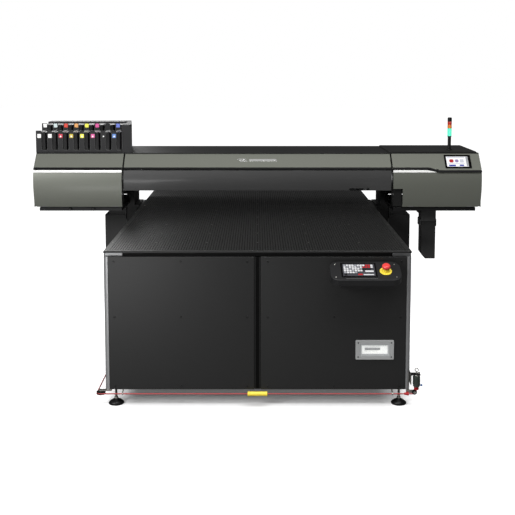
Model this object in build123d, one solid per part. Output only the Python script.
"""Flatbed UV printer: a fixed vacuum bed on a panelled steel cabinet, with a travelling gantry.

The gantry straddles the bed on two legs and runs along Y on rails in the cabinet's side channels.
Its beam carries the print carriage along X, and the print head rises and falls on that carriage.
+X is to the operator's right, +Y points away from the operator and +Z is up.
The origin is on the floor, under the middle of the whole machine's box.
"""
from build123d import *
import math
import os

os.makedirs("parts", exist_ok=True)

# ---- Driving dimensions, in millimetres ----
BED_W, BED_L, BED_TOP, BED_T = 1500, 3050, 780, 10
CABINET_Z = (87, 751)          # bottom and top of the cabinet's panels
CONSOLE_REACH = 154.2            # the control console stands out this far in front of the cabinet
REAR_REACH = 60                # the mains switch stands out this far behind it
SKIN = 2                       # sheet metal
FOLD = 20                      # depth of a folded panel's rim
CORNER = 22                    # corner post
TUBE, TUBE_WALL = 60, 4        # frame tube
TUBE_X = (600, 660)            # the frame's long sides stand between these distances from the centre line
FOOT_X, FOOT_IN = 704, 45      # feet: distance from the centre line, and in from each end
SCREW_PITCH = 258              # bed screws

HALF_W = 1425                  # half the gantry's width
HEAD_IN = 861                  # inner side of the two end housings
BEAM_END = 851                 # end of the beam's covers
GANTRY_BACK = 597              # depth of the gantry's covers
SLANT_LOW, SLANT_HIGH = (0, 1023), (88, 1113)   # depth and height of the slanted face's two edges
SLANT_DROP = -10               # the right housing's slanted face runs on down to this depth
DROP_X = 1150                  # outside of this distance from the centre
COVER_LOW = 885                # lower edge of the beam's covers
HOUSING_LOW = 779              # lower edge of the end housings
TRAY_LOW = 754                 # underside of their drip trays
COVER_T = 4
LID_TOP = 1118
LID_RAISE = 9                  # plate on top of the right housing

FRONT_Y = -(BED_L + REAR_REACH - CONSOLE_REACH) / 2    # the cabinet's front face
REAR_Y = FRONT_Y + BED_L
GANTRY_Y = FRONT_Y + 1374      # the gantry's front face, at rest

BELT_R, BELT_T = 30, 3         # Y belt pulleys and belt thickness
SHAFT_R = 12
BELT_Z = 642                   # height of the Y belts' pulleys
ROPE_R = 3
ROPE_Z = 69
ROPE_Y = FRONT_Y - 12
RUNNING = 0.05                 # radial clearance of a shaft in its bore


# ---- Helpers ----
def span(x, y, z):
    """A box given by its X, Y and Z ranges."""
    x, y, z = sorted(x), sorted(y), sorted(z)
    size = (x[1] - x[0], y[1] - y[0], z[1] - z[0])
    return Pos(sum(x) / 2, sum(y) / 2, sum(z) / 2) * Box(*size)


def depth(*local):
    """Y values from depths behind the gantry's front face."""
    return tuple(GANTRY_Y + d for d in local)


def rod(radius, start, end):
    """A round bar between two points."""
    start, end = Vector(*start), Vector(*end)
    along = end - start
    return extrude(Plane(origin=start, z_dir=along) * Circle(radius), along.length)


def in_yz(points, x):
    """A prism from an outline of (y, z) points, between two X values."""
    face = make_face(Polyline(*points, close=True))
    return extrude(Plane.YZ.offset(min(x)) * face, max(x) - min(x))


def in_xz(face, y):
    """A prism from a face drawn in X and Z, between two Y values."""
    plane = Plane(origin=(0, max(y), 0), x_dir=(1, 0, 0), z_dir=(0, -1, 0))
    return extrude(plane * face, max(y) - min(y))


def tube(x, y, z, wall, axis):
    """A rectangular tube, open at both ends along axis 0, 1 or 2."""
    ranges = [sorted(x), sorted(y), sorted(z)]
    inner = [(r[0] - 1, r[1] + 1) if i == axis else (r[0] + wall, r[1] - wall) for i, r in enumerate(ranges)]
    return span(*ranges) - span(*inner)


def pan(x, y, z, axis, opens, skin=SKIN):
    """A folded sheet-metal panel: a shallow box with its face along axis, open towards opens (+1 or -1)."""
    ranges = [sorted(x), sorted(y), sorted(z)]
    inner = [(r[0] + skin, r[1] - skin) for r in ranges]
    low, high = ranges[axis]
    inner[axis] = (low + skin, high + 1) if opens > 0 else (low - 1, high - skin)
    return span(*ranges) - span(*inner)


def both(shape):
    """A shape and its mirror image on the other side of the machine."""
    return [shape, mirror(shape, Plane.YZ)]


def hex_screw(radius, height, at, facing):
    """A low screw head with a hexagon socket; at is on the surface, facing points out of it."""
    plane = Plane(origin=at, z_dir=facing)
    head = extrude(plane * Circle(radius), height)
    top = sorted(head.edges().filter_by(GeomType.CIRCLE), key=lambda e: e.center().dot(plane.z_dir))[-1]
    head = chamfer(top, height * 0.3)
    return head - extrude(plane.offset(height * 0.5) * RegularPolygon(radius * 0.45, 6), height)


def save(node, *shapes):
    """Writes one node's solids to its STEP file."""
    flat = []
    for shape in shapes:
        flat += list(shape) if isinstance(shape, (list, tuple)) else [shape]
    solids = [solid for shape in flat for solid in shape.solids()]
    export_step(Compound(solids), f"parts/{node}.step")


# ---- Cabinet ----
def frame_rows():
    """Y ranges of the frame's four cross rows."""
    starts = (FRONT_Y + 22, FRONT_Y + 22 + (BED_L - 104) / 3, FRONT_Y + 22 + 2 * (BED_L - 104) / 3, REAR_Y - 82)
    return [(y, y + TUBE) for y in starts]


def base_frame():
    """Bottom and top long rails, posts and cross rails, as separate tubes that meet face to face."""
    long_y = (FRONT_Y + 22, REAR_Y - 22)
    members = both(tube((TUBE_X[1] + 6, TUBE_X[1] + 66), long_y, (90, 150), TUBE_WALL, 1))
    members += both(tube(TUBE_X, long_y, (690, 750), TUBE_WALL, 1))
    for row in frame_rows():
        members += both(tube(TUBE_X, row, (150, 690), TUBE_WALL, 2))
        members.append(tube((-TUBE_X[1] - 6, TUBE_X[1] + 6), row, (90, 150), TUBE_WALL, 0))
        members.append(tube((-TUBE_X[0], TUBE_X[0]), row, (690, 750), TUBE_WALL, 0))
    rows = frame_rows()
    for bay in (0, 1):
        for x in (-220, 180, 520):
            members.append(tube((x, x + 40), (rows[bay][1], rows[bay + 1][0]), (110, 150), TUBE_WALL, 1))
    return members


def feet_places():
    return [(x, y) for x in (-FOOT_X, FOOT_X) for y in (FRONT_Y + FOOT_IN, 0.5 * (FRONT_Y + REAR_Y), REAR_Y - FOOT_IN)]


def levelling_pads():
    """Round feet with a shallow domed top and a socket for the stem."""
    half = make_face(
        [
            Line((0, 0), (38, 0)),
            Line((38, 0), (38, 5)),
            ThreePointArc((38, 5), (24, 16), (13, 26)),
            Line((13, 26), (0, 26)),
            Line((0, 26), (0, 0)),
        ]
    )
    pad = revolve(Plane.XZ * half, Axis.Z) - rod(6, (0, 0, 10), (0, 0, 30))
    return [Pos(x, y, 0) * pad for x, y in feet_places()]


def levelling_stems():
    """Threaded stem with its lock nut under the frame and an adjusting nut above the pad."""
    stem = rod(6, (0, 0, 10), (0, 0, 90))
    lock = Pos(0, 0, 78) * extrude(RegularPolygon(12, 6), 12) - rod(6, (0, 0, 70), (0, 0, 95))
    nut = Pos(0, 0, 27) * extrude(RegularPolygon(9, 6), 8) - rod(6, (0, 0, 20), (0, 0, 40))
    return [Pos(x, y, 0) * part for x, y in feet_places() for part in (stem, lock, nut)]


BREAKER_X, BREAKER_Z = (481, 669), (240, 337)
WINDOW_X, WINDOW_Z = (511, 639), (267, 311)
PANEL_X = (17, 728)


def front_panel(side):
    """One folded front panel; the right one is cut out for the breaker box."""
    panel = pan([side * x for x in PANEL_X], (FRONT_Y, FRONT_Y + FOLD), CABINET_Z, 1, +1)
    panel = fillet(panel.faces().sort_by(Axis.Y)[0].edges(), 1.2)
    if side > 0:
        panel -= span((WINDOW_X[0] - 6, WINDOW_X[1] + 6), (FRONT_Y - 5, FRONT_Y + 5), (WINDOW_Z[0] - 6, WINDOW_Z[1] + 6))
    return panel


MAINS_X, MAINS_Z = 500, 420


def rear_panels():
    left, right = (
        pan([side * x for x in PANEL_X], (REAR_Y - FOLD, REAR_Y), CABINET_Z, 1, -1) for side in (-1, 1)
    )
    for x in range(120, 640, 26):
        slot = span((-x, -x - 12), (REAR_Y - 5, REAR_Y + 5), (560, 680))
        left -= slot
    right -= rod(8, (MAINS_X, REAR_Y - 30, MAINS_Z), (MAINS_X, REAR_Y + 5, MAINS_Z))
    return [left, right]


SIDE_TOP = 668                 # the side panels end here; the gantry's arms pass over them
SIDE_GAP = 3
VALANCE = 28                   # strip that hangs from the bed plate over the rail channel


def side_panels():
    """Three folded panels down each side, and the strip that hides the rail channel above them."""
    length = (BED_L - 2 * CORNER - 2 * SIDE_GAP) / 3
    panels = []
    for i in range(3):
        y0 = FRONT_Y + CORNER + i * (length + SIDE_GAP)
        panels += both(pan((BED_W / 2 - FOLD, BED_W / 2), (y0, y0 + length), (CABINET_Z[0], SIDE_TOP), 0, -1))
    strip_z = (BED_TOP - BED_T - VALANCE, BED_TOP - BED_T)
    return panels + both(span((BED_W / 2 - 3, BED_W / 2), (FRONT_Y + CORNER, REAR_Y - CORNER), strip_z))


def corner_posts():
    """Rounded posts at the four corners, the front centre post and the rear one."""
    post = span((BED_W / 2 - CORNER + 1, BED_W / 2), (FRONT_Y, FRONT_Y + CORNER - 1), CABINET_Z)
    outer = post.edges().filter_by(Axis.Z).sort_by(lambda e: e.center().Y - e.center().X)[0]
    post = fillet(outer, 15)
    rear = mirror(post, Plane.XZ.offset(-(FRONT_Y + REAR_Y) / 2))
    centre = span((-15, 15), (FRONT_Y + 6, FRONT_Y + FOLD), CABINET_Z)
    rear_centre = span((-15, 15), (REAR_Y - FOLD, REAR_Y - 6), CABINET_Z)
    return both(post) + both(rear) + [centre, rear_centre]


def channel_plates():
    """Plates that close both ends of the two side channels."""
    ends = ((FRONT_Y + 24, FRONT_Y + 30), (REAR_Y - 30, REAR_Y - 24))
    return [p for y in ends for p in both(span((TUBE_X[1], BED_W / 2 - 4), y, (SIDE_TOP + 4, BED_TOP - BED_T)))]


def panel_screws():
    """Screw heads on the front, rear and side panels."""
    screws = []
    for x in (50, 375, 700):
        for z in (104, 452, 728):
            for sx in (-x, x):
                if not (sx > 0 and z == 728 and x == 375):
                    screws.append(hex_screw(5, 2.5, (sx, FRONT_Y, z), (0, -1, 0)))
                screws.append(hex_screw(5, 2.5, (sx, REAR_Y, z), (0, 1, 0)))
    length = (BED_L - 2 * CORNER - 2 * SIDE_GAP) / 3
    for i in range(3):
        y0 = FRONT_Y + CORNER + i * (length + SIDE_GAP)
        for y in (y0 + 25, y0 + length - 25):
            for z in (110, SIDE_TOP - 22):
                for side in (-1, 1):
                    screws.append(hex_screw(5, 2.5, (side * BED_W / 2, y, z), (side, 0, 0)))
    return screws


# ---- Bed ----
def bed_screw_places():
    columns = [SCREW_PITCH * i for i in (-2, -1, 0, 1, 2)] + [-738, 738]
    rows = [FRONT_Y + 12] + [FRONT_Y + 215 + SCREW_PITCH * k for k in range(11)] + [REAR_Y - 12]
    return [(x, y) for x in columns for y in rows]


def bed_plate():
    plate = span((-BED_W / 2, BED_W / 2), (FRONT_Y, REAR_Y), (BED_TOP - BED_T, BED_TOP))
    plate = chamfer(plate.faces().sort_by(Axis.Z)[-1].edges(), 1.5)
    for x, y in bed_screw_places():
        plate -= rod(5, (x, y, BED_TOP - 4), (x, y, BED_TOP + 2))
    return plate


def bed_screws():
    screw = rod(4.9, (0, 0, -4), (0, 0, -0.4)) - Pos(0, 0, -2.4) * extrude(RegularPolygon(2.6, 6), 4)
    return [Pos(x, y, BED_TOP) * screw for x, y in bed_screw_places()]


def vacuum_box():
    """Shallow air box under the bed plate: a rim and a floor, split into zones by ribs."""
    x, y, z = (-TUBE_X[1] + 2, TUBE_X[1] - 2), (FRONT_Y + 22, REAR_Y - 22), (750, BED_TOP - BED_T)
    box = span(x, y, z) - span((x[0] + 8, x[1] - 8), (y[0] + 8, y[1] - 8), (z[0] + 3, z[1] + 1))
    for i in (1, 2, 3):
        y_rib = y[0] + i * (y[1] - y[0]) / 4
        box += span((x[0] + 4, x[1] - 4), (y_rib - 4, y_rib + 4), z)
    return box


def vacuum_blower():
    """Side-channel blower on the bottom rails with its riser to the air box."""
    y = 0.5 * (FRONT_Y + REAR_Y) - 200
    base = span((-220, 220), (y - 130, y + 130), (150, 166))
    drum = rod(130, (-40, y, 320), (90, y, 320))
    motor = rod(85, (90, y, 320), (300, y, 320))
    feet = span((-30, 80), (y - 70, y + 70), (166, 230)) - rod(130, (-60, y, 320), (100, y, 320))
    riser = rod(38, (20, y, 440), (20, y, 750))
    return [base, drum + motor, feet, riser - rod(130.2, (-60, y, 320), (100, y, 320))]


def electronics_cabinet():
    """Box with a flat door that holds the drives and the power supply, behind the right front panel."""
    y = FRONT_Y + 110
    return pan((180, 560), (y, y + 260), (150, 640), 1, -1), span((180, 560), (y - 4, y), (150, 640))


# ---- Y drive ----
RAIL_Y = (FRONT_Y + 40, REAR_Y - 40)
RAIL_X, RAIL_Z = (660, 680), (706, 734)
BELT_X = (692, 716)
PULLEY_Y = (FRONT_Y + 75, REAR_Y - 115)


def y_rails():
    """Guide rails with a waist on both flanks, on the frame's upper long tubes."""
    rail = span(RAIL_X, RAIL_Y, RAIL_Z)
    for z in (RAIL_Z[0] - 1, RAIL_Z[1] - 3):
        rail -= span((665, 671), (RAIL_Y[0] - 1, RAIL_Y[1] + 1), (z, z + 4))
    return both(rail)


def belt_loop(centre_a, centre_b, radius, thickness):
    """Outline of a closed belt round two equal pulleys whose centres lie on one level."""
    (a, z), (b, _) = centre_a, centre_b

    def ring(r):
        return make_face(
            [
                Line((a, z + r), (b, z + r)),
                ThreePointArc((b, z + r), (b + r, z), (b, z - r)),
                Line((b, z - r), (a, z - r)),
                ThreePointArc((a, z - r), (a - r, z), (a, z + r)),
            ]
        )

    return ring(radius + thickness) - ring(radius)


def y_belts():
    loop = belt_loop((PULLEY_Y[0], BELT_Z), (PULLEY_Y[1], BELT_Z), BELT_R + 0.3, BELT_T)
    return both(extrude(Plane.YZ.offset(BELT_X[0]) * loop, BELT_X[1] - BELT_X[0]))


def pulley(radius, width, bore, flange=0):
    """Belt pulley about local Z, with thin side flanges and round lightening holes."""
    wheel = extrude(Circle(radius), width)
    for z in (-2, width):
        wheel += Pos(0, 0, z) * extrude(Circle(radius + flange), 2)
    holes = [Pos(radius * 0.62 * math.cos(a), radius * 0.62 * math.sin(a), -3) for a in (0.5, 2.6, 4.7)]
    for hole in holes:
        wheel -= hole * extrude(Circle(radius * 0.17), width + 6)
    return wheel - Pos(0, 0, -3) * extrude(Circle(bore), width + 6)


def across(shape, x, y, z):
    """Turns a part made about Z so that it points along +X, and places it."""
    return Pos(x, y, z) * Rot(0, 90, 0) * shape


def y_drive_shaft():
    """Cross shaft with a fixed belt pulley at each end."""
    shaft = rod(SHAFT_R, (-724, PULLEY_Y[1], BELT_Z), (724, PULLEY_Y[1], BELT_Z))
    wheel = across(pulley(BELT_R, BELT_X[1] - BELT_X[0], SHAFT_R - 1, 4.5), BELT_X[0], PULLEY_Y[1], BELT_Z)
    for side in both(wheel):
        shaft += side
    return shaft


def y_idler_pulleys():
    wheel = across(pulley(BELT_R, BELT_X[1] - BELT_X[0], 8 + RUNNING, 4.5), BELT_X[0], PULLEY_Y[0], BELT_Z)
    return both(wheel)


def y_idler_axles():
    """Stub axles that stand out of the frame's front posts through a carrier plate."""
    y = PULLEY_Y[0]
    plate = span((660, 668), (y - 45, y + 25), (600, 680))
    return both(plate + rod(8, (664, y, BELT_Z), (722, y, BELT_Z)))


def y_shaft_bearings():
    """Pillow blocks under the upper long tubes."""
    y = PULLEY_Y[1]
    block = span((614, 646), (y - 30, y + 30), (612, 690))
    block -= rod(SHAFT_R + RUNNING, (600, y, BELT_Z), (660, y, BELT_Z))
    return both(block)


def y_drive_motor():
    """Hollow-shaft gear motor round the cross shaft, hung from the rear cross rail."""
    y = PULLEY_Y[1]
    gearbox = span((-60, 60), (y - 55, y + 55), (588, 690))
    gearbox = fillet(gearbox.edges().filter_by(Axis.X), 8)
    bracket = span((-60, 60), (y + 33, y + 55), (680, 690))
    motor = rod(44, (0, y - 300, BELT_Z), (0, y - 55, BELT_Z))
    return (gearbox + bracket + motor) - rod(SHAFT_R + RUNNING, (-70, y, BELT_Z), (70, y, BELT_Z))


def y_cable_chain():
    """Cable carrier folded once, in the cavity behind the right side panels."""
    inner, thick = 46, 34
    y0, y1, z = FRONT_Y + 1500, FRONT_Y + 2300, 470
    loop = make_face(
        [
            Line((y0, z + inner + thick), (y1, z + inner + thick)),
            ThreePointArc((y1, z + inner + thick), (y1 + inner + thick, z), (y1, z - inner - thick)),
            Line((y1, z - inner - thick), (y0, z - inner - thick)),
            Line((y0, z - inner - thick), (y0, z - inner)),
            Line((y0, z - inner), (y1, z - inner)),
            ThreePointArc((y1, z - inner), (y1 + inner, z), (y1, z + inner)),
            Line((y1, z + inner), (y0, z + inner)),
            Line((y0, z + inner), (y0, z + inner + thick)),
        ]
    )
    return extrude(Plane.YZ.offset(668) * loop, 48)


# ---- Control console ----
CONSOLE_X, CONSOLE_SLOPE = (346, 684), 24
CONSOLE_L, CONSOLE_T = 148, 34
CONSOLE_TOP_Z = 733
ESTOP_X, SCREEN_X = 611, 483


def console_plane(x, u):
    """Plane on the console's face: u runs down the slope from its rear edge, z is square to the face."""
    a = math.radians(CONSOLE_SLOPE)
    origin = (x, FRONT_Y - 20 - u * math.cos(a), CONSOLE_TOP_Z - u * math.sin(a))
    return Plane(origin=origin, x_dir=(1, 0, 0), z_dir=(0, -math.sin(a), math.cos(a)))


def console_housing():
    """Sloping desk with rounded ends, hollow inside, with holes for the button and the keypad."""
    centre = sum(CONSOLE_X) / 2
    plane = console_plane(centre, CONSOLE_L / 2)
    outline = RectangleRounded(CONSOLE_X[1] - CONSOLE_X[0], CONSOLE_L, 44)
    body = extrude(plane * outline, -CONSOLE_T)
    body = fillet(body.faces().sort_by(lambda f: f.center().dot(plane.z_dir))[-1].edges(), 3)
    inner = RectangleRounded(CONSOLE_X[1] - CONSOLE_X[0] - 6, CONSOLE_L - 6, 41)
    body -= extrude(plane.offset(-3) * inner, -CONSOLE_T + 6)
    body -= extrude(console_plane(ESTOP_X, 80).offset(-5) * Circle(11.5), 10)
    return body


def console_bracket():
    """Cranked sheet bracket from the front panel to the underside of the console."""
    x = (400, 655)
    low = console_plane(0, 20).offset(-CONSOLE_T).origin
    outline = [
        (FRONT_Y, 612),
        (FRONT_Y - 70, 612),
        (FRONT_Y - 84, 640),
        (console_plane(0, 100).offset(-CONSOLE_T).origin.Y, console_plane(0, 100).offset(-CONSOLE_T).origin.Z),
        (low.Y, low.Z),
        (FRONT_Y, low.Z),
    ]
    block = in_yz(outline, x)
    hollow = in_yz([(y + (0 if i in (0, 5) else 3), z + (3 if i in (0, 1) else 0)) for i, (y, z) in enumerate(outline)],
                   (x[0] + 3, x[1] - 3))
    return block - Pos(0, 1, 0) * hollow


def console_keypad():
    """Thin framed operating panel let on to the console's face."""
    plate = extrude(console_plane(SCREEN_X, 70) * RectangleRounded(170, 112, 5), 2.5)
    return plate - extrude(console_plane(SCREEN_X, 70).offset(1.5) * RectangleRounded(154, 96, 3), 3)


def estop_collar():
    """Round backing ring with the switch's neck, which guides the button's stem."""
    plane = console_plane(ESTOP_X, 80)
    ring = extrude(plane * Circle(29), 3) + extrude(plane * Circle(16), 16)
    ring += extrude(plane * Circle(11), -24)
    return ring - extrude(plane.offset(-14) * Circle(6 + RUNNING), 60)


def estop_button():
    """Mushroom head on its stem, 7 mm clear of the neck so that it can be pushed in."""
    cap = Pos(0, 0, 31) * Cylinder(20, 16)
    cap = fillet(cap.edges().filter_by(GeomType.CIRCLE).sort_by(Axis.Z)[-1], 9)
    cap = fillet(cap.edges().filter_by(GeomType.CIRCLE).sort_by(Axis.Z)[0], 3)
    return console_plane(ESTOP_X, 80).location * (cap + Pos(0, 0, 9) * Cylinder(6, 32))


# ---- Breaker box ----
def breaker_bezel():
    """Raised frame round the breaker window, with a recess for the clear flap."""
    y = (FRONT_Y - 9, FRONT_Y)
    frame = span(BREAKER_X, y, BREAKER_Z)
    frame = fillet(frame.edges().filter_by(Axis.Y), 5)
    frame = chamfer(frame.faces().sort_by(Axis.Y)[0].edges(), 1.5)
    frame -= span(WINDOW_X, (y[0] - 1, y[1] + 1), WINDOW_Z)
    frame -= span((WINDOW_X[0] - 8, WINDOW_X[1] + 8), (y[0] - 1, y[0] + 3), (WINDOW_Z[0] - 8, WINDOW_Z[1] + 8))
    for x in (BREAKER_X[0] + 13, BREAKER_X[1] - 13):
        for z in (BREAKER_Z[0] + 13, BREAKER_Z[1] - 13):
            frame -= rod(4, (x, y[0] - 1, z), (x, y[0] + 3, z))
    return frame


BREAKER_PITCH = 18
TOGGLE_Z = 290


def breaker_unit():
    """Row of circuit breakers with a slot for the linked toggles, on its backing plate."""
    plate = span((WINDOW_X[0] + 1, WINDOW_X[1] - 1), (FRONT_Y - 1, FRONT_Y + 3), (WINDOW_Z[0] + 1, WINDOW_Z[1] - 1))
    plate += span((WINDOW_X[0] - 11, WINDOW_X[1] + 11), (FRONT_Y + 2, FRONT_Y + 20), (WINDOW_Z[0] - 11, WINDOW_Z[1] + 11))
    slot = span((525, 525 + 4 * BREAKER_PITCH + 6), (FRONT_Y - 3, FRONT_Y + 9), (TOGGLE_Z - 14, TOGGLE_Z + 14))
    pivot = rod(2, (523, FRONT_Y + 4, TOGGLE_Z), (525 + 4 * BREAKER_PITCH + 8, FRONT_Y + 4, TOGGLE_Z))
    return plate - slot + pivot


def breaker_toggle():
    """Four toggles joined by a tie bar, turning on the breakers' pivot rod."""
    x0, x1 = 527, 525 + 4 * BREAKER_PITCH + 4
    hub = rod(4, (x0, FRONT_Y + 4, TOGGLE_Z), (x1, FRONT_Y + 4, TOGGLE_Z))
    bar = hub + span((x0, x1), (FRONT_Y - 3.5, FRONT_Y - 1.5), (TOGGLE_Z + 2.5, TOGGLE_Z + 5.5))
    for i in range(4):
        x = 536 + BREAKER_PITCH * i
        bar += in_yz(
            [
                (FRONT_Y + 4, TOGGLE_Z - 3.5),
                (FRONT_Y + 4, TOGGLE_Z + 3.5),
                (FRONT_Y - 3, TOGGLE_Z + 6.5),
                (FRONT_Y - 4, TOGGLE_Z + 3),
            ],
            (x - 3, x + 3),
        )
    return bar - rod(2 + RUNNING, (x0 - 2, FRONT_Y + 4, TOGGLE_Z), (x1 + 2, FRONT_Y + 4, TOGGLE_Z))


FLAP_Z = WINDOW_Z[1] + 7


def breaker_window():
    """Clear flap hinged along its top edge."""
    y = FRONT_Y - 8.5
    flap = span((WINDOW_X[0] - 7, WINDOW_X[1] + 7), (y, y + 2), (WINDOW_Z[0] - 7, FLAP_Z - 1.5))
    return flap + rod(1.5, (WINDOW_X[0] - 7, y + 0.5, FLAP_Z - 1.5), (WINDOW_X[1] + 7, y + 0.5, FLAP_Z - 1.5))


# ---- Safety rope round the foot of the machine ----
LEFT_PULLEY = (-773, FRONT_Y + 7)      # upright axis
LEFT_PULLEY_R = 19
RIGHT_PULLEY = (772, 78)               # axis along Y, given in X and Z
RIGHT_PULLEY_R = 9
SWITCH_X = RIGHT_PULLEY[0] + RIGHT_PULLEY_R
SWITCH_BOTTOM = 107
BOOT_BOTTOM = 92
RESET_Z = 113
ROPE_END_Y = REAR_Y - 70


def safety_rope():
    """Taut rope from the switch, round both pulleys, to the anchor at the left rear."""
    left_x, left_y = LEFT_PULLEY
    r, q = LEFT_PULLEY_R, RIGHT_PULLEY_R
    side_x = left_x - r
    quarter = math.sqrt(0.5)
    path = Wire(
        [
            Line((SWITCH_X, ROPE_Y, SWITCH_BOTTOM - 4), (SWITCH_X, ROPE_Y, RIGHT_PULLEY[1])),
            ThreePointArc(
                (SWITCH_X, ROPE_Y, RIGHT_PULLEY[1]),
                (RIGHT_PULLEY[0] + q * quarter, ROPE_Y, RIGHT_PULLEY[1] - q * quarter),
                (RIGHT_PULLEY[0], ROPE_Y, ROPE_Z),
            ),
            Line((RIGHT_PULLEY[0], ROPE_Y, ROPE_Z), (left_x, ROPE_Y, ROPE_Z)),
            ThreePointArc(
                (left_x, ROPE_Y, ROPE_Z),
                (left_x - r * quarter, left_y - r * quarter, ROPE_Z),
                (side_x, left_y, ROPE_Z),
            ),
            Line((side_x, left_y, ROPE_Z), (side_x, ROPE_END_Y, ROPE_Z)),
        ]
    )
    section = Plane(origin=(SWITCH_X, ROPE_Y, SWITCH_BOTTOM - 4), z_dir=(0, 0, -1)) * Circle(ROPE_R)
    return sweep(section, path)


def rope_sleeve():
    """Plastic grip sleeve at the middle of the front run."""
    sleeve = rod(12, (-49, ROPE_Y, ROPE_Z), (49, ROPE_Y, ROPE_Z))
    sleeve = fillet(sleeve.edges().filter_by(GeomType.CIRCLE), 6)
    return sleeve - rod(ROPE_R + 0.1, (-60, ROPE_Y, ROPE_Z), (60, ROPE_Y, ROPE_Z))


def grooved_wheel(radius, bore, rim):
    """Rope wheel about local Z: radius is to the rope's centre line, rim is how far it stands past it."""
    groove, outer = radius - ROPE_R - 0.4, radius + rim
    wide, narrow = 6, ROPE_R + 0.4
    half = Polyline(
        (bore, -wide), (outer, -wide), (outer, -narrow - 0.8), (radius, -narrow), (groove, -narrow),
        (groove, narrow), (radius, narrow), (outer, narrow + 0.8), (outer, wide), (bore, wide), close=True,
    )
    return revolve(Plane.XZ * make_face(half), Axis.Z)


def rope_pulley_left():
    return Pos(*LEFT_PULLEY, ROPE_Z) * grooved_wheel(LEFT_PULLEY_R, 5 + RUNNING, 4)


def rope_pulley_right():
    wheel = grooved_wheel(RIGHT_PULLEY_R, 3 + RUNNING, 2.5)
    return Pos(RIGHT_PULLEY[0], ROPE_Y, RIGHT_PULLEY[1]) * Rot(90, 0, 0) * wheel


def rope_brackets():
    """Pulley brackets at both front corners, guide eyes along the rope and the anchor at the far end."""
    x, y = LEFT_PULLEY
    left = span((x - 9, -BED_W / 2 + 30), (y - 9, y + 9), (CABINET_Z[0] - 8, CABINET_Z[0] - 3))
    left += rod(5, (x, y, ROPE_Z - 9), (x, y, CABINET_Z[0] - 5))
    left += rod(8, (x, y, ROPE_Z - 12), (x, y, ROPE_Z - 8))
    left += span((-BED_W / 2 + 6, -BED_W / 2 + 30), (y - 9, y + 15), (CABINET_Z[0] - 8, CABINET_Z[0]))
    px, pz = RIGHT_PULLEY
    right = rod(3, (px, ROPE_Y - 8, pz), (px, ROPE_Y + 10, pz)) + rod(6, (px, ROPE_Y - 10, pz), (px, ROPE_Y - 7.5, pz))
    right += span((px - 40, px + 8), (ROPE_Y + 8, ROPE_Y + 12), (pz - 8, CABINET_Z[0] - 1))
    right += span((px - 40, px - 23), (ROPE_Y + 8, ROPE_Y + 40), (CABINET_Z[0] - 5, CABINET_Z[0]))
    guides = []
    for gx in (-664, 664):
        ring = rod(7, (gx - 2, ROPE_Y, ROPE_Z), (gx + 2, ROPE_Y, ROPE_Z))
        tab = span((gx - 2, gx + 2), (ROPE_Y - 4, FRONT_Y + 16), (CABINET_Z[0] - 13, CABINET_Z[0]))
        tab -= span((gx - 3, gx + 3), (ROPE_Y - 6, FRONT_Y - 3), (CABINET_Z[0] - 6, CABINET_Z[0] + 1))
        guides.append(ring + tab - rod(ROPE_R + 0.5, (gx - 5, ROPE_Y, ROPE_Z), (gx + 5, ROPE_Y, ROPE_Z)))
    rx = x - LEFT_PULLEY_R
    for gy in (FRONT_Y + 760, FRONT_Y + 1520, FRONT_Y + 2280):
        ring = rod(7, (rx, gy - 2, ROPE_Z), (rx, gy + 2, ROPE_Z))
        tab = span((rx, -BED_W / 2 + 20), (gy - 2, gy + 2), (CABINET_Z[0] - 18, CABINET_Z[0] - 6))
        tab += span((-BED_W / 2 + 2, -BED_W / 2 + 20), (gy - 2, gy + 2), (CABINET_Z[0] - 8, CABINET_Z[0]))
        guides.append(ring + tab - rod(ROPE_R + 0.5, (rx, gy - 5, ROPE_Z), (rx, gy + 5, ROPE_Z)))
    anchor = span((rx - 10, -BED_W / 2 + 20), (ROPE_END_Y, ROPE_END_Y + 5), (ROPE_Z - 10, CABINET_Z[0]))
    anchor += rod(6, (rx, ROPE_END_Y - 10, ROPE_Z), (rx, ROPE_END_Y, ROPE_Z))
    anchor -= rod(ROPE_R + 0.05, (rx, ROPE_END_Y - 20, ROPE_Z), (rx, ROPE_END_Y, ROPE_Z))
    return [left, right, *guides, anchor]


def rope_switch_body():
    """Upright pull switch with a finned barrel and a bore for its reset knob."""
    barrel = rod(16, (SWITCH_X, ROPE_Y, SWITCH_BOTTOM), (SWITCH_X, ROPE_Y, 166))
    barrel = fillet(barrel.edges().filter_by(GeomType.CIRCLE), 2)
    for z in (120, 130, 140, 150):
        barrel += rod(18, (SWITCH_X, ROPE_Y, z), (SWITCH_X, ROPE_Y, z + 5))
    return barrel - rod(3 + RUNNING, (SWITCH_X + 8, ROPE_Y, RESET_Z), (SWITCH_X + 20, ROPE_Y, RESET_Z))


def rope_switch_bracket():
    """Angle bracket from the cabinet's front corner over the top of the switch."""
    arm = span((BED_W / 2, SWITCH_X + 17), (ROPE_Y - 14, ROPE_Y + 14), (166, 172))
    arm += span((BED_W / 2, BED_W / 2 + 4), (ROPE_Y - 14, FRONT_Y + 60), (120, 172))
    arm += rod(5, (SWITCH_X + 12, ROPE_Y, 172), (SWITCH_X + 12, ROPE_Y, 178))
    return arm


def rope_switch_eyes():
    """Ring on top of the switch and the eye that holds the rope below it."""
    ring = Pos(SWITCH_X, ROPE_Y, 190) * Rot(90, 0, 0) * Torus(8, 2)
    neck = rod(3, (SWITCH_X, ROPE_Y, 172), (SWITCH_X, ROPE_Y, 182))
    tail = rod(4.5, (SWITCH_X, ROPE_Y, SWITCH_BOTTOM - 4), (SWITCH_X, ROPE_Y, SWITCH_BOTTOM))
    return [ring + neck, tail]


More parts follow.
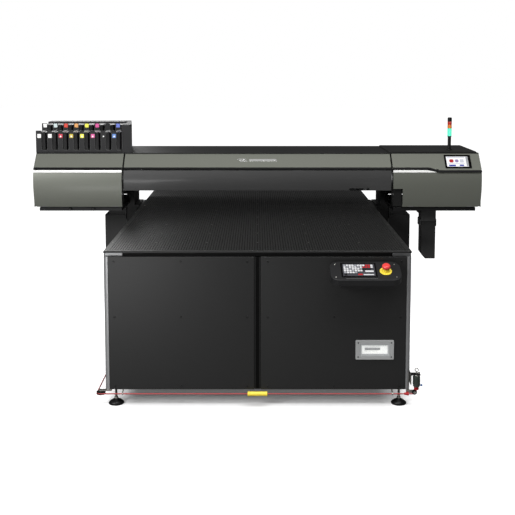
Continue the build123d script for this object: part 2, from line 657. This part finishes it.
def rope_boots():
    """Red rubber boot at the switch and the red rope clamp near the right pulley."""
    boot = rod(12, (SWITCH_X, ROPE_Y, BOOT_BOTTOM), (SWITCH_X, ROPE_Y, SWITCH_BOTTOM - 4))
    boot = fillet(boot.edges().filter_by(GeomType.CIRCLE), 4)
    boot -= rod(ROPE_R + 0.05, (SWITCH_X, ROPE_Y, BOOT_BOTTOM - 5), (SWITCH_X, ROPE_Y, SWITCH_BOTTOM))
    cone = Pos(733, ROPE_Y, ROPE_Z) * Rot(0, 90, 0) * Cone(9, 5, 22)
    cone -= rod(ROPE_R + 0.05, (700, ROPE_Y, ROPE_Z), (760, ROPE_Y, ROPE_Z))
    return [boot, cone]


def rope_switch_reset():
    """Reset knob on the outer side of the switch, on a stem that slides in the barrel's bore."""
    stem = rod(3, (SWITCH_X + 13, ROPE_Y, RESET_Z), (SWITCH_X + 21, ROPE_Y, RESET_Z))
    return stem + rod(5, (SWITCH_X + 21, ROPE_Y, RESET_Z), (SWITCH_X + 29, ROPE_Y, RESET_Z))


# ---- Mains switch on the rear ----
def mains_switch_plate():
    plate = span((MAINS_X - 40, MAINS_X + 40), (REAR_Y, REAR_Y + 8), (MAINS_Z - 40, MAINS_Z + 40))
    plate = fillet(plate.edges().filter_by(Axis.Y), 6)
    plate += rod(26, (MAINS_X, REAR_Y + 8, MAINS_Z), (MAINS_X, REAR_Y + 16, MAINS_Z))
    return plate - rod(6 + RUNNING, (MAINS_X, REAR_Y - 5, MAINS_Z), (MAINS_X, REAR_Y + 30, MAINS_Z))


def mains_switch_knob():
    """Rotary handle on a spindle that runs through the plate."""
    knob = rod(22, (MAINS_X, REAR_Y + 17, MAINS_Z), (MAINS_X, REAR_Y + 27, MAINS_Z))
    grip = span((MAINS_X - 7, MAINS_X + 7), (REAR_Y + 27, REAR_Y + REAR_REACH), (MAINS_Z - 30, MAINS_Z + 30))
    grip = fillet(grip.edges().filter_by(Axis.Y), 5)
    return knob + grip + rod(6, (MAINS_X, REAR_Y, MAINS_Z), (MAINS_X, REAR_Y + 18, MAINS_Z))


# ---- Gantry structure ----
LEG_X, LEG_DEPTH = (801, 884), (350, 590)
LEG_STEP_Z, LEG_UPPER_X = 742, 831     # above the bed each leg is narrower
FOOT_PLATE_X = (785, 801)
BLOCK_DEPTHS = ((200, 270), (530, 600))
BEAM_DEPTH, BEAM_Z = (380, 560), (COVER_LOW, 1085)


def gantry_legs():
    """Hollow legs, each with its foot plate and the arms that reach in to the guide blocks."""
    parts = []
    column = tube(LEG_X, depth(*LEG_DEPTH), (600, LEG_STEP_Z), 8, 2)
    column += tube((LEG_UPPER_X, LEG_X[1]), depth(*LEG_DEPTH), (LEG_STEP_Z, COVER_LOW), 8, 2)
    column += span(LEG_X, depth(*LEG_DEPTH), (LEG_STEP_Z - 8, LEG_STEP_Z))
    plate = span(FOOT_PLATE_X, depth(180, 620), (612, 735))
    arms = [span((712, 785), depth(*d), (697, 733)) for d in BLOCK_DEPTHS]
    clamp = span((BELT_X[0], 785), depth(380, 430), (BELT_Z + BELT_R + BELT_T + 0.8, 688))
    for part in (column, plate, *arms, clamp):
        parts += both(part)
    return parts


def leg_covers():
    """Drive covers outside the legs, with the short arm that carries each end housing."""
    box = tube((890, 1033), depth(350, 590), (166, 673), 3, 2)
    caps = [span((893, 1030), depth(353, 587), z) for z in ((166, 169), (670, 673))]
    arm = span((890, 1007), depth(360, 580), (673, TRAY_LOW))
    ties = [span((884, 890), depth(400, 540), z) for z in ((630, 660),)]
    parts = []
    for part in (box, *caps, arm, *ties):
        parts += both(part)
    return parts


def guide_blocks():
    """Four guide blocks that wrap round the Y rails."""
    blocks = []
    for d in BLOCK_DEPTHS:
        block = span((664, 712), depth(*d), (694, 746))
        block -= span((660, RAIL_X[1] + 0.4), depth(d[0] - 1, d[1] + 1), (RAIL_Z[0] - 0.4, RAIL_Z[1] + 0.4))
        blocks += both(block)
    return blocks


def gantry_beam():
    return tube((-1390, 1390), depth(*BEAM_DEPTH), BEAM_Z, 10, 0)


X_RAIL_Z = ((920, 944), (1036, 1060))
X_RAIL_T = 18


def x_rails():
    y = depth(BEAM_DEPTH[0] - X_RAIL_T, BEAM_DEPTH[0])
    rails = []
    for z in X_RAIL_Z:
        rail = span((-1330, 1330), y, z)
        for edge in (z[0] - 1, z[1] - 3):
            rail -= span((-1331, 1331), (y[0] + 5, y[0] + 11), (edge, edge + 4))
        rails.append(rail)
    return rails


# ---- Print carriage ----
PARK_X = 1140
CARRIAGE_W = 340
PLATE_DEPTH = (328, 343)
HEAD_DEPTH = (120, 306)
HEAD_Z = (893, 1068)
X_PULLEY_X, X_PULLEY_Z, X_PULLEY_R = 1350, 990, 22


def carriage_plate():
    """Back plate with four blocks on the X rails and a clamp on the belt's upper run."""
    x = (PARK_X - CARRIAGE_W / 2, PARK_X + CARRIAGE_W / 2)
    plate = span(x, depth(*PLATE_DEPTH), (905, 1075))
    for z in X_RAIL_Z:
        for bx in (x[0] + 10, x[1] - 80):
            block = span((bx, bx + 70), depth(PLATE_DEPTH[1], BEAM_DEPTH[0] - 3), (z[0] - 10, z[1] + 10))
            plate += block - span(
                (bx - 1, bx + 71), depth(BEAM_DEPTH[0] - X_RAIL_T - 0.4, BEAM_DEPTH[0]), (z[0] - 0.4, z[1] + 0.4)
            )
    clamp_z = X_PULLEY_Z + X_PULLEY_R + BELT_T + 0.8
    plate += span((PARK_X - 20, PARK_X + 20), depth(PLATE_DEPTH[1] - 1, 360), (clamp_z, clamp_z + 8))
    return plate


def z_guides():
    """Two upright guide posts on the carriage plate."""
    posts = []
    for x in (PARK_X - 60, PARK_X + 60):
        posts.append(span((x - 9, x + 9), depth(HEAD_DEPTH[1] + 8, PLATE_DEPTH[0]), (905, 1075)))
    return posts


def head_unit():
    """Head housing: an open-bottomed box with a pocket for the print heads, and its sliding shoes."""
    x = (PARK_X - 95, PARK_X + 95)
    box = pan(x, depth(*HEAD_DEPTH), HEAD_Z, 2, -1, 6)
    box = fillet(box.edges().filter_by(Axis.Z).group_by(Axis.Y)[0], 5)
    for gx in (PARK_X - 60, PARK_X + 60):
        shoe = span((gx - 20, gx + 20), depth(HEAD_DEPTH[1], PLATE_DEPTH[0] - 2), (1010, 1060))
        box += shoe - span((gx - 9.3, gx + 9.3), depth(HEAD_DEPTH[1] + 7.6, PLATE_DEPTH[0] + 5), (1000, 1070))
    return box


def print_heads():
    """Four print heads side by side across the carriage, held by a base plate."""
    x0 = PARK_X - 89
    plate = span((x0, PARK_X + 89), depth(HEAD_DEPTH[0] + 6, HEAD_DEPTH[1] - 6), (HEAD_Z[0] + 6, HEAD_Z[0] + 12))
    for i in range(4):
        hx = PARK_X - 66 + 44 * i
        d = (HEAD_DEPTH[0] + 26 + 30 * (i % 2), HEAD_DEPTH[0] + 126 + 30 * (i % 2))
        plate += span((hx - 14, hx + 14), depth(*d), (HEAD_Z[0], HEAD_Z[0] + 90))
    return plate


def uv_lamps():
    """Finned curing lamp on each side of the head."""
    lamps = []
    for side in (-1, 1):
        inner = PARK_X + side * 97
        outer = PARK_X + side * 165
        lamp = span((inner, outer), depth(HEAD_DEPTH[0] + 10, HEAD_DEPTH[1] - 20), (HEAD_Z[0] + 2, HEAD_Z[0] + 130))
        for k in range(6):
            y = HEAD_DEPTH[0] + 28 + 24 * k
            lamp -= span((outer - side * 22, outer + side), depth(y, y + 12), (HEAD_Z[0] + 40, HEAD_Z[0] + 131))
        lamps.append(lamp)
        lamps.append(span((PARK_X + side * 95, inner), depth(HEAD_DEPTH[0] + 30, HEAD_DEPTH[0] + 60), (940, 960)))
    return lamps


def x_belt():
    face = belt_loop((-X_PULLEY_X, X_PULLEY_Z), (X_PULLEY_X, X_PULLEY_Z), X_PULLEY_R + 0.3, BELT_T)
    return in_xz(face, depth(346, 358))


def x_pulley(side):
    wheel = pulley(X_PULLEY_R, 12, 5 + RUNNING, 4)
    return Pos(side * X_PULLEY_X, GANTRY_Y + 358, X_PULLEY_Z) * Rot(90, 0, 0) * wheel


def x_drive_motor():
    """Motor on the left end of the beam with its shaft, and the idler's axle on the right end."""
    x, z = X_PULLEY_X, X_PULLEY_Z
    axles = [rod(5, (s * x, GANTRY_Y + 340, z), (s * x, GANTRY_Y + BEAM_DEPTH[0], z)) for s in (-1, 1)]
    motor = span((-x - 30, -x + 30), depth(270, 340), (z - 30, z + 30))
    motor = fillet(motor.edges().filter_by(Axis.Y), 6) + axles[0]
    motor += span((-x - 36, -x - 28), depth(270, BEAM_DEPTH[0]), (z - 28, z + 28))
    return [motor, axles[1]]


def capping_station():
    """Caps and wiper under the parked head."""
    base = span((PARK_X - 120, PARK_X + 120), depth(140, 300), (TRAY_LOW + 3, 768))
    for i in range(4):
        hx = PARK_X - 66 + 44 * i
        d = (HEAD_DEPTH[0] + 26 + 30 * (i % 2), HEAD_DEPTH[0] + 126 + 30 * (i % 2))
        cap = span((hx - 17, hx + 17), depth(d[0] - 3, d[1] + 3), (768, 782))
        base += cap - span((hx - 14, hx + 14), depth(d[0], d[1]), (774, 790))
    base += span((PARK_X - 116, PARK_X - 110), depth(150, 290), (768, 784))
    return base


# ---- Gantry covers ----
def slant_points(thickness, low=SLANT_LOW, high=SLANT_HIGH):
    """Outline, in depth and height, of a plate that lies along the slanted face."""
    run, rise = high[0] - low[0], high[1] - low[1]
    length = math.hypot(run, rise)
    dy, dz = rise / length * thickness, -run / length * thickness
    points = [low, high, (high[0] + dy, high[1] + dz), (low[0] + dy, low[1] + dz)]
    return [(GANTRY_Y + y, z) for y, z in points]


def slant_height(y):
    """Height of the slanted face at a depth."""
    return SLANT_LOW[1] + (y - SLANT_LOW[0]) * (SLANT_HIGH[1] - SLANT_LOW[1]) / (SLANT_HIGH[0] - SLANT_LOW[0])


def beam_upper_cover():
    """Slanted front cover of the beam with a folded rim along its lower edge."""
    cover = in_yz(slant_points(COVER_T), (-BEAM_END, BEAM_END))
    return cover + span((-BEAM_END, BEAM_END), depth(3, 18), (SLANT_LOW[1] - 3, SLANT_LOW[1]))


def beam_top_lid():
    lid = span((-BEAM_END, BEAM_END), depth(SLANT_HIGH[0] - 6, GANTRY_BACK), (SLANT_HIGH[1], LID_TOP))
    front = lid.faces().sort_by(Axis.Y)[0].edges().sort_by(Axis.Z)[-1]
    return fillet(front, 3)


def beam_rear_cover():
    """Back of the beam with cooling slots near both ends."""
    cover = span((-BEAM_END, BEAM_END), depth(GANTRY_BACK - COVER_T, GANTRY_BACK), (COVER_LOW, SLANT_HIGH[1]))
    for x in range(560, 800, 24):
        for side in (-1, 1):
            cover -= span((side * x, side * (x + 10)), depth(GANTRY_BACK - 8, GANTRY_BACK + 2), (950, 1040))
    return cover


def joint_frame():
    """Four mitred bars that fill the joint between the beam and an end housing."""
    outer = [(5, COVER_LOW), (5, 1019), (92, 1108), (592, 1108), (592, COVER_LOW)]
    inner = [(20, COVER_LOW), (20, 1012), (98, 1094), (577, 1094), (577, COVER_LOW)]
    bars = []
    for corners in zip(outer, outer[1:], inner[1:], inner):
        bars.append(in_yz([(GANTRY_Y + y, z) for y, z in corners], (BEAM_END, HEAD_IN)))
    return bars


FLAP_TOP = 1017


def beam_front_cover():
    """Hinged lower front cover: a gently bowed sheet with a return lip below and its hinge barrel above."""
    outer = [
        ThreePointArc((2, COVER_LOW), (-3, 960), (3, FLAP_TOP - 3)),
        Line((3, FLAP_TOP - 3), (7, FLAP_TOP - 3)),
        ThreePointArc((7, FLAP_TOP - 3), (1, 960), (6, COVER_LOW + 4)),
        Line((6, COVER_LOW + 4), (24, COVER_LOW + 4)),
        Line((24, COVER_LOW + 4), (24, COVER_LOW)),
        Line((24, COVER_LOW), (2, COVER_LOW)),
    ]
    face = Pos(GANTRY_Y, 0) * make_face(outer)
    sheet = extrude(Plane.YZ.offset(-BEAM_END) * face, 2 * BEAM_END)
    for x in (-820, -300, 220, 740):
        sheet += rod(3.5, (x, GANTRY_Y + 7, FLAP_TOP - 3), (x + 80, GANTRY_Y + 7, FLAP_TOP - 3))
    return sheet


def housing(side):
    """Fixed panels of one end housing: outer side, slanted front, rear, and the inner skirts below the beam."""
    shoulder = (4, slant_height(4))
    side_points = [(4, HOUSING_LOW), shoulder, SLANT_HIGH, (GANTRY_BACK, SLANT_HIGH[1]), (GANTRY_BACK, HOUSING_LOW)]
    wall = in_yz([(GANTRY_Y + y, z) for y, z in side_points], (HALF_W - COVER_T, HALF_W))
    rear = span((HEAD_IN, HALF_W - COVER_T), depth(GANTRY_BACK - COVER_T, GANTRY_BACK), (HOUSING_LOW, SLANT_HIGH[1]))
    skirt = span((HEAD_IN, HEAD_IN + 3), depth(6, 70), (HOUSING_LOW, COVER_LOW - 1))
    slant = in_yz(slant_points(COVER_T), (HEAD_IN, HALF_W - COVER_T))
    parts = [wall, rear, skirt, slant, *joint_frame()]
    if side > 0:
        low = (SLANT_DROP, slant_height(SLANT_DROP))
        parts[3] += in_yz(slant_points(COVER_T, low), (DROP_X, HALF_W - COVER_T))
        parts.append(span((HEAD_IN + 4, 921), depth(6, 10), (HOUSING_LOW + 3, 896)))
    if side < 0:
        parts = [mirror(part, Plane.YZ) for part in parts]
    return parts


def housing_lids():
    """Black top plates of the end housings; the right one carries a raised plate."""
    left = span((-HALF_W, -BEAM_END), depth(SLANT_HIGH[0] - 2, GANTRY_BACK), (SLANT_HIGH[1], LID_TOP))
    right = mirror(left, Plane.YZ)
    raised = span((HEAD_IN - 14, HALF_W - 14), depth(100, 560), (LID_TOP, LID_TOP + LID_RAISE))
    raised = chamfer(raised.faces().sort_by(Axis.Z)[-1].edges(), 2)
    return [left, right, raised]


def drip_trays():
    """Open trays that close the end housings from below."""
    tray = pan((866, 1392), depth(8, 588), (TRAY_LOW, HOUSING_LOW - 3), 2, +1, 3)
    tray -= span((850, LEG_X[1] + 3), depth(LEG_DEPTH[0] - 4, 600), (TRAY_LOW - 1, HOUSING_LOW))
    return both(tray)


def tray_knobs():
    """Quarter-turn knobs along the left tray's front edge."""
    y = GANTRY_Y + 8
    return [rod(8, (x, y - 12, TRAY_LOW + 12), (x, y, TRAY_LOW + 12)) for x in (-1195, -1048)]


DOOR_LOW, DOOR_TOP = 781, 1001
DOOR_HINGE = (-1, 784)
TRIM_Z = (1002, 1016)


def door_sheet(outline, x):
    """Bowed door sheet cut to an outline in X and Z, with hinge barrels on its lower edge."""
    bow = [
        ThreePointArc((-3, DOOR_LOW), (-16, 905), (-4, TRIM_Z[1])),
        Line((-4, TRIM_Z[1]), (0, TRIM_Z[1])),
        ThreePointArc((0, TRIM_Z[1]), (-12, 905), (1, DOOR_LOW)),
        Line((1, DOOR_LOW), (-3, DOOR_LOW)),
    ]
    face = Pos(GANTRY_Y, 0) * make_face(bow)
    sheet = extrude(Plane.YZ.offset(min(x) - 20) * face, max(x) - min(x) + 40)
    return sheet & in_xz(outline, depth(-40, 40))


def hinge_barrels(spans):
    y, z = GANTRY_Y + DOOR_HINGE[0] + 1.5, DOOR_HINGE[1]
    return [rod(3.5, (a, y, z), (b, y, z)) for a, b in spans]


def left_door():
    """Full-width door with barrel-shaped sides and rounded lower corners."""
    x0, x1 = -HALF_W, -HEAD_IN - 2
    outline = make_face(
        [
            Line((x0, DOOR_TOP), (x1, DOOR_TOP)),
            Line((x1, DOOR_TOP), (x1, DOOR_LOW)),
            Line((x1, DOOR_LOW), (x0 + 26, DOOR_LOW)),
            ThreePointArc((x0 + 26, DOOR_LOW), (x0 + 12, DOOR_LOW + 5), (x0 + 5, DOOR_LOW + 18)),
            ThreePointArc((x0 + 5, DOOR_LOW + 18), (x0 + 1, 900), (x0, DOOR_TOP)),
        ]
    )
    door = door_sheet(outline, (x0, x1))
    for barrel in hinge_barrels([(-1360, -1300), (-990, -930)]):
        door += barrel
    return door


NOTCH = (923, 898)     # the right door clears the fixed inner panel up to this X and Z


def right_door():
    """Door with a notch at its lower inner corner and a dropped upper edge under the touch screen."""
    x0, x1 = HEAD_IN + 2, HALF_W
    outline = make_face(
        [
            Line((x0, DOOR_TOP), (DROP_X - 8, DOOR_TOP)),
            Line((DROP_X - 8, DOOR_TOP), (DROP_X, DOOR_TOP + 7)),
            Line((DROP_X, DOOR_TOP + 7), (x1, DOOR_TOP + 7)),
            ThreePointArc((x1, DOOR_TOP + 7), (x1 - 1, 900), (x1 - 5, DOOR_LOW + 18)),
            ThreePointArc((x1 - 5, DOOR_LOW + 18), (x1 - 12, DOOR_LOW + 5), (x1 - 26, DOOR_LOW)),
            Line((x1 - 26, DOOR_LOW), (NOTCH[0], DOOR_LOW)),
            Line((NOTCH[0], DOOR_LOW), (NOTCH[0], NOTCH[1])),
            Line((NOTCH[0], NOTCH[1]), (x0, NOTCH[1])),
            Line((x0, NOTCH[1]), (x0, DOOR_TOP)),
        ]
    )
    door = door_sheet(outline, (x0, x1))
    for barrel in hinge_barrels([(960, 1020), (1310, 1370)]):
        door += barrel
    return door


def door_trim(x_from, x_to, taper):
    """Bright grip strip along a door's upper edge; it thins out over the last stretch."""
    z0, z1 = TRIM_Z
    points = [(x_from, z0), (x_from, z1), (x_to - taper, z1), (x_to, z0 + 4), (x_to, z0)]
    if not taper:
        points = [(x_from, z0), (x_from, z1), (x_to, z1), (x_to, z0)]
    return in_xz(make_face(Polyline(*points, close=True)), depth(-8, 0))


# ---- Touch screen, signal tower, badge ----
def slant_plane(x, t):
    """Plane on the slanted face: t runs from its lower edge (0) to its upper edge (1)."""
    y = SLANT_LOW[0] + t * (SLANT_HIGH[0] - SLANT_LOW[0])
    z = SLANT_LOW[1] + t * (SLANT_HIGH[1] - SLANT_LOW[1])
    rise, run = SLANT_HIGH[1] - SLANT_LOW[1], SLANT_HIGH[0] - SLANT_LOW[0]
    return Plane(origin=(x, GANTRY_Y + y, z), x_dir=(1, 0, 0), z_dir=(0, -rise, run))


TOUCH_X, TOUCH_T = 1280, 0.47
TOWER_X, TOWER_DEPTH = 1259, 205


def touch_screen():
    """Seven-inch panel in its bezel on the right slanted cover."""
    plane = slant_plane(TOUCH_X, TOUCH_T)
    bezel = extrude(plane * RectangleRounded(168, 108, 4), 5)
    bezel = chamfer(bezel.faces().sort_by(lambda f: f.center().dot(plane.z_dir))[-1].edges(), 1.5)
    return bezel - extrude(plane.offset(4) * Rectangle(154, 90), 3)


def tower_rod(radius, low, high):
    y = GANTRY_Y + TOWER_DEPTH
    return rod(radius, (TOWER_X, y, low), (TOWER_X, y, high))


def signal_pole():
    """Flange and pole."""
    base = tower_rod(20, LID_TOP + LID_RAISE, LID_TOP + 15)
    base = fillet(base.edges().filter_by(GeomType.CIRCLE).sort_by(Axis.Z)[-1], 3)
    return base + tower_rod(11, LID_TOP + 15, 1218)


def signal_lenses():
    """Three coloured lenses, green at the bottom, then amber and red."""
    heights = ((1218, 1268), (1269, 1291), (1292, 1313))
    return [fillet(tower_rod(14, *z).edges().filter_by(GeomType.CIRCLE), 1.2) for z in heights]


def signal_caps():
    """Top cap and the thin dark rings between the lenses."""
    cap = tower_rod(14, 1313, 1340)
    cap = fillet(cap.edges().filter_by(GeomType.CIRCLE).sort_by(Axis.Z)[-1], 5)
    return [cap, tower_rod(13, 1268, 1269), tower_rod(13, 1291, 1292)]


# ---- Ink station on the left housing ----
INK_X = (-HALF_W, -807)
INK_PITCH, INK_COUNT = 68.8, 8
LABEL_X0 = -1403
TIER_DEPTH, TIER_TOP = (90, 258), (1262, 1299)
INK_BACK = 544
BOTTLE = (58, 158, 128)


def label_places():
    return [(LABEL_X0 + INK_PITCH * i, tier) for tier in (0, 1) for i in range(INK_COUNT)]


def ink_rack():
    """Two-tier holder: base, stepped plinth, slotted fronts, partitions, rear housing and the right wing."""
    z0 = LID_TOP
    cell_x1 = LABEL_X0 - 22 + INK_PITCH * INK_COUNT
    parts = [
        span((INK_X[0], cell_x1), depth(TIER_DEPTH[0], INK_BACK), (z0, z0 + 6)),
        span((INK_X[0] + 2, cell_x1), depth(TIER_DEPTH[1] + 4, 430), (z0 + 6, z0 + 42)),
        span((INK_X[0] + 2, cell_x1), depth(430, INK_BACK), (z0 + 6, TIER_TOP[1])),
    ]
    wing = in_xz(
        make_face(Polyline((cell_x1, z0), (cell_x1, 1299), (-822, 1299), (INK_X[1], 1262), (INK_X[1], z0), close=True)),
        depth(TIER_DEPTH[0] + 2, INK_BACK),
    )
    front, back = depth(TIER_DEPTH[0] + 2, INK_BACK)
    plan = make_face(Polyline((cell_x1, front), (INK_X[1], front), (cell_x1 + 3, back), (cell_x1, back), close=True))
    parts.append(wing & extrude(Pos(0, 0, z0) * plan, 200))
    for tier, (front, top) in enumerate(zip(TIER_DEPTH, TIER_TOP)):
        low = z0 + 6 if tier == 0 else z0 + 42
        face = Pos((INK_X[0] + cell_x1) / 2, (low + top) / 2) * Rectangle(cell_x1 - INK_X[0], top - low)
        for i in range(INK_COUNT):
            x = LABEL_X0 + INK_PITCH * i + 14 + 19
            face -= Pos(x, (low + 12 + top + 20) / 2) * RectangleRounded(38, top + 20 - low - 12, 12)
        parts.append(in_xz(face, depth(front - 4, front)))
        for i in range(INK_COUNT + 1):
            x = LABEL_X0 - 22 + INK_PITCH * i
            if i < INK_COUNT:
                parts.append(span((x + 1, x + 4), depth(front, front + 164), (low, top - 18)))
    return parts


def ink_bottles(tier):
    """One row of eight bottles with rounded edges, each a separate solid standing in its cell."""
    low = LID_TOP + (6 if tier == 0 else 42)
    front = TIER_DEPTH[tier] + 2
    bottle = span((0, BOTTLE[0]), depth(front, front + BOTTLE[1]), (low, low + BOTTLE[2]))
    bottle = fillet(bottle.edges().filter_by(Axis.Z), 8)
    bottle = fillet(bottle.faces().sort_by(Axis.Z)[-1].edges(), 4)
    x0 = LABEL_X0 - 22 + 6.5
    return [Pos(x0 + INK_PITCH * i, 0, 0) * bottle for i in range(INK_COUNT)]


def ink_labels():
    """Colour tabs on the columns of the rack's two fronts."""
    labels = []
    for x, tier in label_places():
        y = TIER_DEPTH[tier] - 4
        top = TIER_TOP[tier] - (22 if tier == 0 else 3)
        tab = span((x - 12, x + 12), depth(y - 1.5, y), (top - 25, top))
        labels.append(fillet(tab.edges().filter_by(Axis.Y), 3))
    return labels


# ---- Waste bottle under the right housing ----
WASTE_X, WASTE_DEPTH = (1100, 1200), (300, 400)
WASTE_Z = (380, 634)


def waste_bracket():
    """Sheet bracket that hangs from the right tray, with rails the bottle slides on."""
    x, y = WASTE_X, WASTE_DEPTH
    hood = pan(x, depth(*y), (636, TRAY_LOW), 2, -1, 3)
    hook = span((x[0] - 18, x[0]), depth(y[0] + 20, y[1] - 20), (690, TRAY_LOW))
    rails = [span((x[0] - 6, x[0]), depth(*y), (602, 650)), span((x[1], x[1] + 4), depth(*y), (602, 650))]
    lips = [span((x[0], x[0] + 7), depth(*y), (602, 606)), span((x[1] - 7, x[1]), depth(*y), (602, 606))]
    return [hood, hook, *rails, *lips]


def waste_bottle():
    """Bottle with a chipped lower edge, a neck up into the bracket and shoulder grooves for the rails."""
    x = (WASTE_X[0] + 0.6, WASTE_X[1] - 0.6)
    outline = make_face(
        Polyline(
            (x[0], WASTE_Z[1]),
            (x[1], WASTE_Z[1]),
            (x[1], WASTE_Z[0]),
            (x[0] + 30, WASTE_Z[0]),
            (x[0], WASTE_Z[0] + 40),
            close=True,
        )
    )
    body = in_xz(outline, depth(WASTE_DEPTH[0] + 2, WASTE_DEPTH[1] - 2))
    body = fillet(body.edges().filter_by(Axis.Z), 5)
    for groove in ((x[0] - 1, x[0] + 7.4), (x[1] - 7.4, x[1] + 1)):
        body -= span(groove, depth(WASTE_DEPTH[0] - 1, WASTE_DEPTH[1] + 1), (601, 607))
    return body


# ---- Write every node ----
save("base_frame", base_frame(), y_idler_axles(), y_shaft_bearings())
save("levelling_feet", levelling_pads(), levelling_stems())
save("front_panel_left", front_panel(-1))
save("front_panel_right", front_panel(1))
save("side_panels", side_panels())
save("rear_panels", rear_panels(), mains_switch_plate())
save("corner_posts", corner_posts(), channel_plates())
save("panel_screws", panel_screws())
save("bed_plate", bed_plate())
save("bed_screws", bed_screws())
save("vacuum_box", vacuum_box(), vacuum_blower())
save("electronics_cabinet", electronics_cabinet())
save("mains_switch_knob", mains_switch_knob())
save("y_rails", y_rails())
save("y_belts", y_belts(), y_drive_motor())
save("y_drive_shaft", y_drive_shaft())
save("y_idler_pulleys", y_idler_pulleys())
save("y_cable_chain", y_cable_chain())
save("console_housing", console_housing(), console_bracket())
save("console_keypad", console_keypad())
save("estop_collar", estop_collar())
save("estop_button", estop_button())
save("breaker_bezel", breaker_bezel())
save("breaker_unit", breaker_unit())
save("breaker_toggle", breaker_toggle())
save("breaker_window", breaker_window())
save("safety_rope", safety_rope())
save("rope_fittings", rope_sleeve(), rope_boots())
save("rope_pulley_left", rope_pulley_left())
save("rope_pulley_right", rope_pulley_right())
save("rope_brackets", rope_brackets(), rope_switch_body(), rope_switch_bracket(), rope_switch_eyes())
save("rope_switch_reset", rope_switch_reset())
save("gantry_legs", gantry_legs(), guide_blocks())
save("leg_covers", leg_covers())
save("gantry_beam", gantry_beam(), x_rails())
save("carriage_plate", carriage_plate(), z_guides())
save("head_unit", head_unit())
save("print_heads", print_heads())
save("uv_lamps", uv_lamps())
save("x_belt", x_belt(), x_drive_motor())
save("x_drive_pulley", x_pulley(-1))
save("x_idler_pulley", x_pulley(1))
save("capping_station", capping_station())
save("beam_upper_cover", beam_upper_cover())
save("top_lids", beam_top_lid(), housing_lids())
save("beam_rear_cover", beam_rear_cover())
save("beam_front_cover", beam_front_cover())
save("left_housing", housing(-1))
save("right_housing", housing(1))
save("drip_trays", drip_trays(), tray_knobs())
save("left_door", left_door(), door_trim(-HALF_W, -HEAD_IN - 2, 0))
save("right_door", right_door(), door_trim(HEAD_IN + 2, DROP_X - 10, 60))
save("touch_screen", touch_screen())
save("signal_pole", signal_pole(), signal_caps())
save("signal_lenses", signal_lenses())
save("ink_rack", ink_rack())
save("ink_bottles", ink_bottles(0), ink_bottles(1))
save("ink_labels", ink_labels())
save("waste_bracket", waste_bracket())
save("waste_bottle", waste_bottle())
